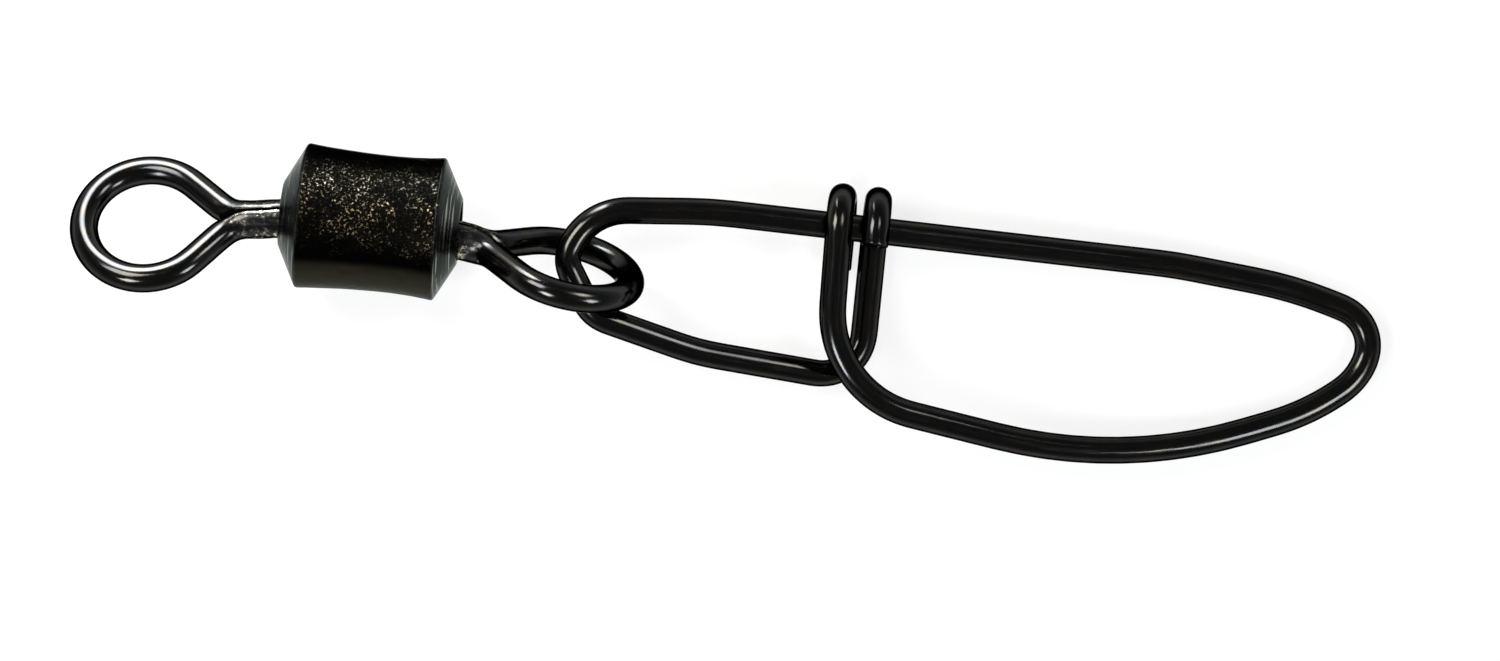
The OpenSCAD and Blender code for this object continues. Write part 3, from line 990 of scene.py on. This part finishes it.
@dataclass
class Snap:
    """The cross-lock snap: one spring wire with a lure loop, an end loop and two crossing hooks."""

    wire_d: float = 1.15
    length: float = 35.3
    lock_clear: float = 0.14
    front_hook: float = 11.15
    hook_pitch: float = 1.6
    front_tail: float = 3.1
    tail_lean: float = 0.2
    back_tail: float = 2.0
    heel_depth: float = 7.05
    heel_lean: float = 0.2
    heel_bend: float = 4.4
    belly_depth: float = 8.9
    belly_reach: float = 12.95
    belly_bend: float = 20.6
    chin_depth: float = 5.8
    chin_reach: float = 2.3
    chin_bend: float = 10.0
    nose_low: Corner = Corner(0.4, 4.2, 2.9)
    nose_top: Corner = Corner(-0.35, 1.72, 1.8)
    first: Corner = Corner(3.5, 0.62, 18.0)
    second: Corner = Corner(8.65, 0.16, 18.0)
    end_reach: float = 5.8
    end_rise: float = 0.06
    end_depth: float = 5.9
    floor_bend: float = 10.5
    end_top: Corner = Corner(0.45, 0.42, 2.6)
    end_back: Corner = Corner(-0.1, 2.65, 1.0)
    end_low: Corner = Corner(1.25, 4.8, 1.2)
    foot_depth: float = 6.4
    foot_bend: float = 1.8
    sides: int = 48
    step: float = 0.16
    ease: float = 0.2
    flattening: float = 0.04

    def corners(self) -> list[tuple[tuple[float, float, float], float]]:
        """Works out the corners of the wire and their bend radii, from the front hook's free end.

        Returns:
            For each corner its place, with the end bend at x = 0 and the spine at y = 0, and its bend.
        """
        r = self.wire_d / 2
        nose = self.length - self.wire_d
        back = self.front_hook + self.hook_pitch
        hook = self.wire_d + self.lock_clear

        def spine(x: float) -> float:
            """Returns the height of the spine's middle line at x."""
            return r + (nose - x) * hook / (nose - back)

        def between(x: float, a: tuple[float, float], b: tuple[float, float]) -> float:
            """Returns the height at x on the straight line between two corners given as (x, height)."""
            return a[1] + (b[1] - a[1]) * (x - a[0]) / (b[0] - a[0])

        front = self.front_hook
        tail = front + self.tail_lean
        heel = (front + self.heel_lean, spine(front) + hook)
        chin = (nose - self.chin_reach, spine(nose - self.chin_reach))
        belly = front + self.belly_reach
        low = (self.end_low.reach, spine(self.end_low.reach))
        foot = (back, r)
        end = self.end_reach
        first, second = self.first, self.second
        return [
            ((tail, hook - self.front_tail, spine(front) - hook), 0.0),
            ((tail, hook, spine(front) - hook), hook),
            ((front, hook, spine(front) + hook), hook),
            ((heel[0], -self.heel_depth, heel[1]), self.heel_bend),
            ((belly, -self.belly_depth, between(belly, heel, chin)), self.belly_bend),
            ((chin[0], -self.chin_depth, chin[1]), self.chin_bend),
            ((nose - self.nose_low.reach, -self.nose_low.depth, r), self.nose_low.bend),
            ((nose - self.nose_top.reach, -self.nose_top.depth, r), self.nose_top.bend),
            ((nose - first.reach, -first.depth, spine(nose - first.reach)), first.bend),
            ((nose - second.reach, -second.depth, spine(nose - second.reach)), second.bend),
            ((end, self.end_rise, spine(end)), first.bend),
            ((self.end_top.reach, -self.end_top.depth, spine(self.end_top.reach)), self.end_top.bend),
            ((self.end_back.reach, -self.end_back.depth, spine(0.0)), self.end_back.bend),
            ((low[0], -self.end_low.depth, low[1]), self.end_low.bend),
            ((end, -self.end_depth, between(end, low, foot)), self.floor_bend),
            ((foot[0], -self.foot_depth, foot[1]), self.foot_bend),
            ((back, hook, foot[1]), hook),
            ((back, hook, spine(back) + hook), hook),
            ((back, hook - self.back_tail, spine(back) + hook), 0.0),
        ]

    def shell(self) -> Shell:
        """Carries the round section along the route, flattened a little inside its tight bends.

        Formula: the reach is r (1 - f cos^2 a), with f growing with the curvature up to 4 percent.

        Returns:
            The closed skin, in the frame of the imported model.
        """
        corners = self.corners()
        route = rounded_line(np.array([c[0] for c in corners]), np.array([c[1] for c in corners]))
        line, along = spaced(route, self.step, self.ease)
        low = np.array(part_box("snap")[0]) / METRES
        line += low + self.wire_d / 2 - line.min(axis=0)
        ways = ways_along(line)
        sides = carried_sides(ways, unit(np.cross(ways[0], UP)))
        angle = np.linspace(0.0, 2 * math.pi, self.sides, endpoint=False)
        curve = np.gradient(ways, axis=0) / self.step
        out = np.cross(sides, ways)
        bend = np.linalg.norm(curve, axis=1, keepdims=True)
        towards = np.arctan2(np.sum(curve * sides, axis=1), np.sum(curve * out, axis=1))[:, None]
        flat = self.flattening * smoothstep(bend, 0.15, 0.9)
        reach = self.wire_d / 2 * (1 - flat * np.cos(angle - towards) ** 2)
        return CutWire(line, along, sides, reach).shell(np.zeros(len(line)))

    def build(self, finish: bpy.types.Material) -> None:
        """Makes the snap's piece and dresses it in the finish."""
        make_piece(self.shell(), "snap_wire", finish, Body.SNAP, "snap")


@dataclass(frozen=True)
class SoftBox:
    """A square lamp, in metres, turned to the point it is aimed at, with a grid where its spread is small."""

    name: str
    at: tuple[float, float, float]
    aim: tuple[float, float, float]
    size: float
    watts: float
    colour: tuple[float, float, float] = (1.0, 1.0, 1.0)
    spread: float = 180.0

    def place(self) -> bpy.types.Object:
        """Makes the lamp.

        Returns:
            The lamp's object.
        """
        lamp = bpy.data.lights.new(self.name, "AREA")
        lamp.shape = "SQUARE"
        lamp.size = self.size
        lamp.energy = self.watts
        lamp.color = self.colour
        lamp.spread = math.radians(self.spread)
        holder = bpy.data.objects.new(self.name, lamp)
        holder.location = self.at
        holder.rotation_euler = (Vector(self.aim) - Vector(self.at)).to_track_quat("-Z", "Y").to_euler()
        holder.visible_camera = False
        bpy.context.scene.collection.objects.link(holder)
        return holder


@dataclass
class Studio:
    """The pale table, the room round it, the lamps and the camera."""

    floor_size: float = 4.0
    floor_drop: float = 0.00002
    floor_lit: float = 0.8
    floor_shade: float = 0.24
    floor_glow: float = 0.8
    room_low: float = 0.5
    room_high: float = 0.12
    camera_at: tuple[float, float, float] = (0.001067, -0.001232, 0.231)
    camera_turn: float = 5.85
    lens: float = 130.4
    boxes: tuple[SoftBox, ...] = (
        SoftBox("ring_lamp", (-0.046, 0.053, 0.019), (-0.032, 0.001, 0.003), 0.042, 0.013, spread=44.0),
        SoftBox("back_left_lamp", (-0.056, 0.032, 0.078), (0.0, 0.0, 0.002), 0.036, 0.055, WARM_WHITE),
        SoftBox("front_left_lamp", (-0.106, -0.102, 0.202), (0.0, 0.0, 0.002), 0.065, 0.26, COOL_WHITE),
        SoftBox("front_right_lamp", (0.074, -0.034, 0.084), (0.026, 0.0, 0.001), 0.034, 0.05, COOL_WHITE),
        SoftBox("eyes_lamp", (0.018, 0.022, 0.046), (-0.015, 0.0, 0.004), 0.016, 0.0009, WARM_WHITE, 50.0),
    )

    def lay_floor(self) -> None:
        """Lays a flat floor that shows white to the camera and to glossy surfaces, and keeps the shadow."""
        half = self.floor_size / 2
        mesh = bpy.data.meshes.new("table_top")
        z = -self.floor_drop
        corners = [(-half, -half, z), (half, -half, z), (half, half, z), (-half, half, z)]
        mesh.from_pydata(corners, [], [(0, 1, 2, 3)])
        floor = bpy.data.objects.new("table_top", mesh)
        bpy.context.scene.collection.objects.link(floor)
        material, wiring = new_material("white_table")
        path = wiring.add("ShaderNodeLightPath")
        seen = wiring.math("MAXIMUM", path.outputs["Is Camera Ray"], path.outputs["Is Glossy Ray"])
        seen = wiring.math("MAXIMUM", seen, path.outputs["Is Transmission Ray"])
        lit = wiring.add("ShaderNodeBsdfDiffuse", {"Color": (self.floor_lit,) * 3 + (1.0,)})
        shade = wiring.add("ShaderNodeBsdfDiffuse", {"Color": (self.floor_shade,) * 3 + (1.0,)})
        glow = wiring.add("ShaderNodeEmission", {"Color": (1.0, 1.0, 1.0, 1.0), "Strength": self.floor_glow})
        bright = wiring.add("ShaderNodeAddShader", {0: shade.outputs[0], 1: glow.outputs[0]})
        surface = wiring.add("ShaderNodeMixShader", {0: seen, 1: lit.outputs[0], 2: bright.outputs[0]})
        wiring.add("ShaderNodeOutputMaterial", {"Surface": surface.outputs[0]})
        mesh.materials.append(material)

    def fill_room(self) -> None:
        """Makes the room pale at the horizon and dim overhead, as a tent with a dark ceiling is."""
        world = bpy.data.worlds.new("room")
        bpy.context.scene.world = world
        world.use_nodes = True
        world.node_tree.nodes.clear()
        wiring = Wiring(world.node_tree)
        way = wiring.add("ShaderNodeTexCoord")
        parts = wiring.add("ShaderNodeSeparateXYZ", {0: way.outputs["Generated"]})
        level = wiring.mapped(parts.outputs["Z"], 0.02, 0.5, self.room_low, self.room_high)
        background = wiring.add("ShaderNodeBackground", {"Color": (1.0, 1.0, 1.0, 1.0), "Strength": level})
        wiring.add("ShaderNodeOutputWorld", {"Surface": background.outputs[0]})

    def set_camera(self) -> None:
        """Puts the camera straight above the part, as in the photograph."""
        camera = bpy.data.cameras.new("camera")
        camera.lens = self.lens
        camera.sensor_width = 36.0
        camera.sensor_fit = "HORIZONTAL"
        camera.clip_start = 0.01
        holder = bpy.data.objects.new("camera", camera)
        holder.location = self.camera_at
        holder.rotation_euler = (0.0, 0.0, math.radians(self.camera_turn))
        bpy.context.scene.collection.objects.link(holder)
        bpy.context.scene.camera = holder

    def build(self) -> None:
        """Sets up everything that isn't the part."""
        bpy.context.scene.view_settings.view_transform = "Standard"
        self.set_camera()
        self.lay_floor()
        self.fill_room()
        for box in self.boxes:
            box.place()
        log.info("studio: %d lamps", len(self.boxes))


def main() -> None:
    """Builds and dresses the pieces in order, and reports each."""
    logging.basicConfig(level=logging.INFO, format="%(name)s: %(message)s")
    Studio().build()
    effects = Effects.made()
    eye_finish = WireFinish("black_nickel_eye_wire").material(effects)
    snap_finish = WireFinish("black_nickel_spring_wire", lines=11.0, ripple=0.4).material(effects)
    Barrel().build(BarrelFinish().material(effects))
    Eye(Body.LINE_EYE, "line_eye_spin", 31.0).build(eye_finish)
    Eye(Body.SNAP_EYE, "snap_eye_spin", -66.1).build(eye_finish)
    Snap().build(snap_finish)


if __name__ == "__main__":
    main()
